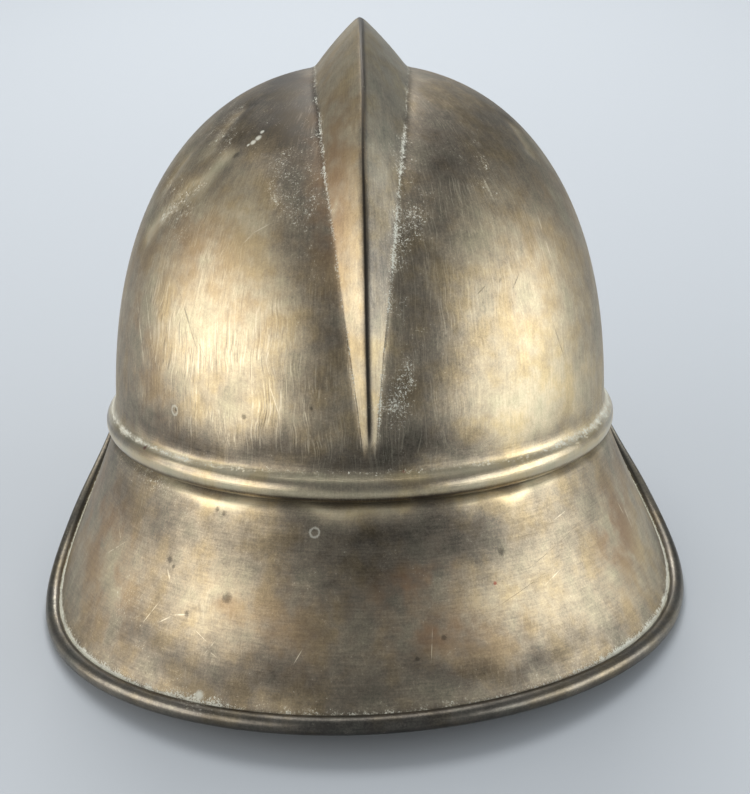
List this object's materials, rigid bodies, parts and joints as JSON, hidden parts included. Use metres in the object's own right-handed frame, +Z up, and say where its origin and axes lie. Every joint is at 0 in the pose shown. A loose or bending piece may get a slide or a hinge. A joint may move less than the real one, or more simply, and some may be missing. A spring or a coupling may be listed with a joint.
{
  "type": "brass firefighter helmet",
  "caption": "Old brass fire helmet: domed skull with a raised comb and a beaded edge, a long flared neck guard behind and a short peak in front, with rolled edges.",
  "frame": {"origin": "on the surface that the helmet stands on, under the middle of its box", "axes": "+Z up, +Y to the front of the helmet, +X to its wearer's right side"},
  "size_m": [0.2644, 0.329, 0.2282],
  "materials": {
    "skull_brass": "aged satin brass, tarnished grey-brown beside the comb and above the bead, brighter gold at the sides, finely scratched",
    "guard_brass": "aged satin brass with brown and grey clouds of tarnish and pale residue along its rolled edge",
    "peak_brass": "aged satin brass with brown and grey clouds of tarnish and pale residue along its rolled edge"
  },
  "bodies": {
    "root": {"skull": "skull_brass", "neck_guard": "guard_brass", "front_peak": "peak_brass"}
  },
  "joints": []
}
